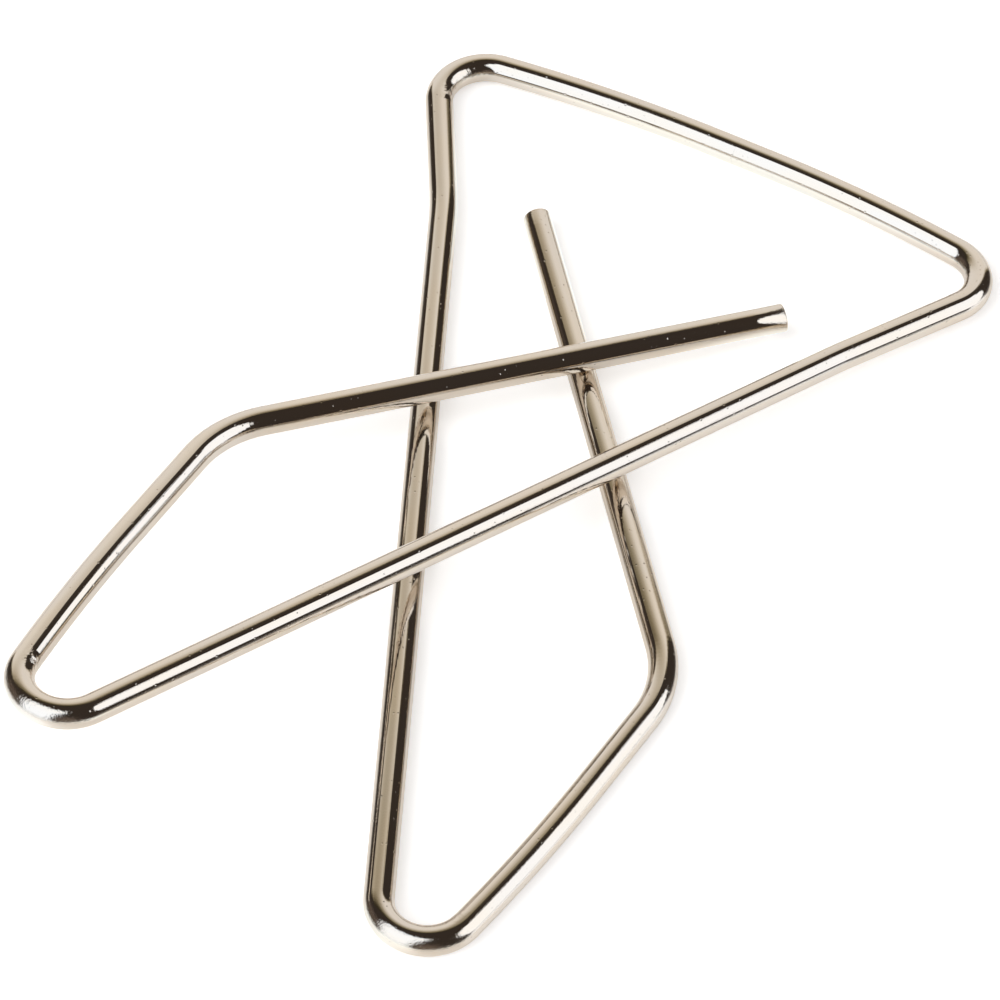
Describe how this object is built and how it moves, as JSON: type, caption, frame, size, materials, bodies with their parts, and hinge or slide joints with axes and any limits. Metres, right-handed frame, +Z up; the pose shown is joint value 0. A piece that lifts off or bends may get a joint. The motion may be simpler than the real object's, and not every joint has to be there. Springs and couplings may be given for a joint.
{
  "type": "paper clamp",
  "caption": "Butterfly paper clamp of bent round spring wire: crossing wings on a back bar, with free tongues that grip a stack of paper.",
  "frame": {"origin": "middle of the clamp's bounding box, on the surface that it lies on", "axes": "+X along the back bar to the right corner, +Y towards the back bar, +Z up, away from the surface"},
  "size_m": [0.0408, 0.0668, 0.0074],
  "materials": {
    "wire": "polished nickel plate on steel spring wire"
  },
  "bodies": {
    "lower_wing": {"left_bar": "wire", "left_bow": "wire", "left_corner": "wire", "lower_arm_root": "wire", "lower_arm_kink": "wire", "lower_arm": "wire", "lower_nose": "wire", "lower_leg_bow": "wire"},
    "lower_tongue_end": {"lower_leg": "wire", "lower_knee": "wire", "lower_tongue": "wire"},
    "upper_wing": {"right_bar": "wire", "right_bow": "wire", "right_corner": "wire", "upper_arm_root": "wire", "upper_arm_kink": "wire", "upper_arm": "wire", "upper_nose": "wire", "upper_leg_bow": "wire"},
    "upper_tongue_end": {"upper_leg": "wire", "upper_knee": "wire", "upper_tongue": "wire"}
  },
  "joints": [
    {"name": "wing_opening", "type": "hinge", "parent": "lower_wing", "child": "upper_wing", "pos_m": [0.00031, 0.03245, 0.00093], "axis": [-1, 0, 0], "range_deg": [0, 20], "stiffness_Nm_per_rad": 1.5},
    {"name": "upper_tongue_flex", "type": "hinge", "parent": "upper_wing", "child": "upper_tongue_end", "pos_m": [-0.01511, -0.01761, 0.00523], "axis": [-0.006, -0.9963, 0.0856], "range_deg": [0, 10], "stiffness_Nm_per_rad": 0.8},
    {"name": "lower_tongue_flex", "type": "hinge", "parent": "lower_tongue_end", "child": "lower_wing", "pos_m": [0.01695, -0.01759, 0.00093], "axis": [0.0626, 0.998, 0], "range_deg": [0, 10], "stiffness_Nm_per_rad": 0.8}
  ]
}
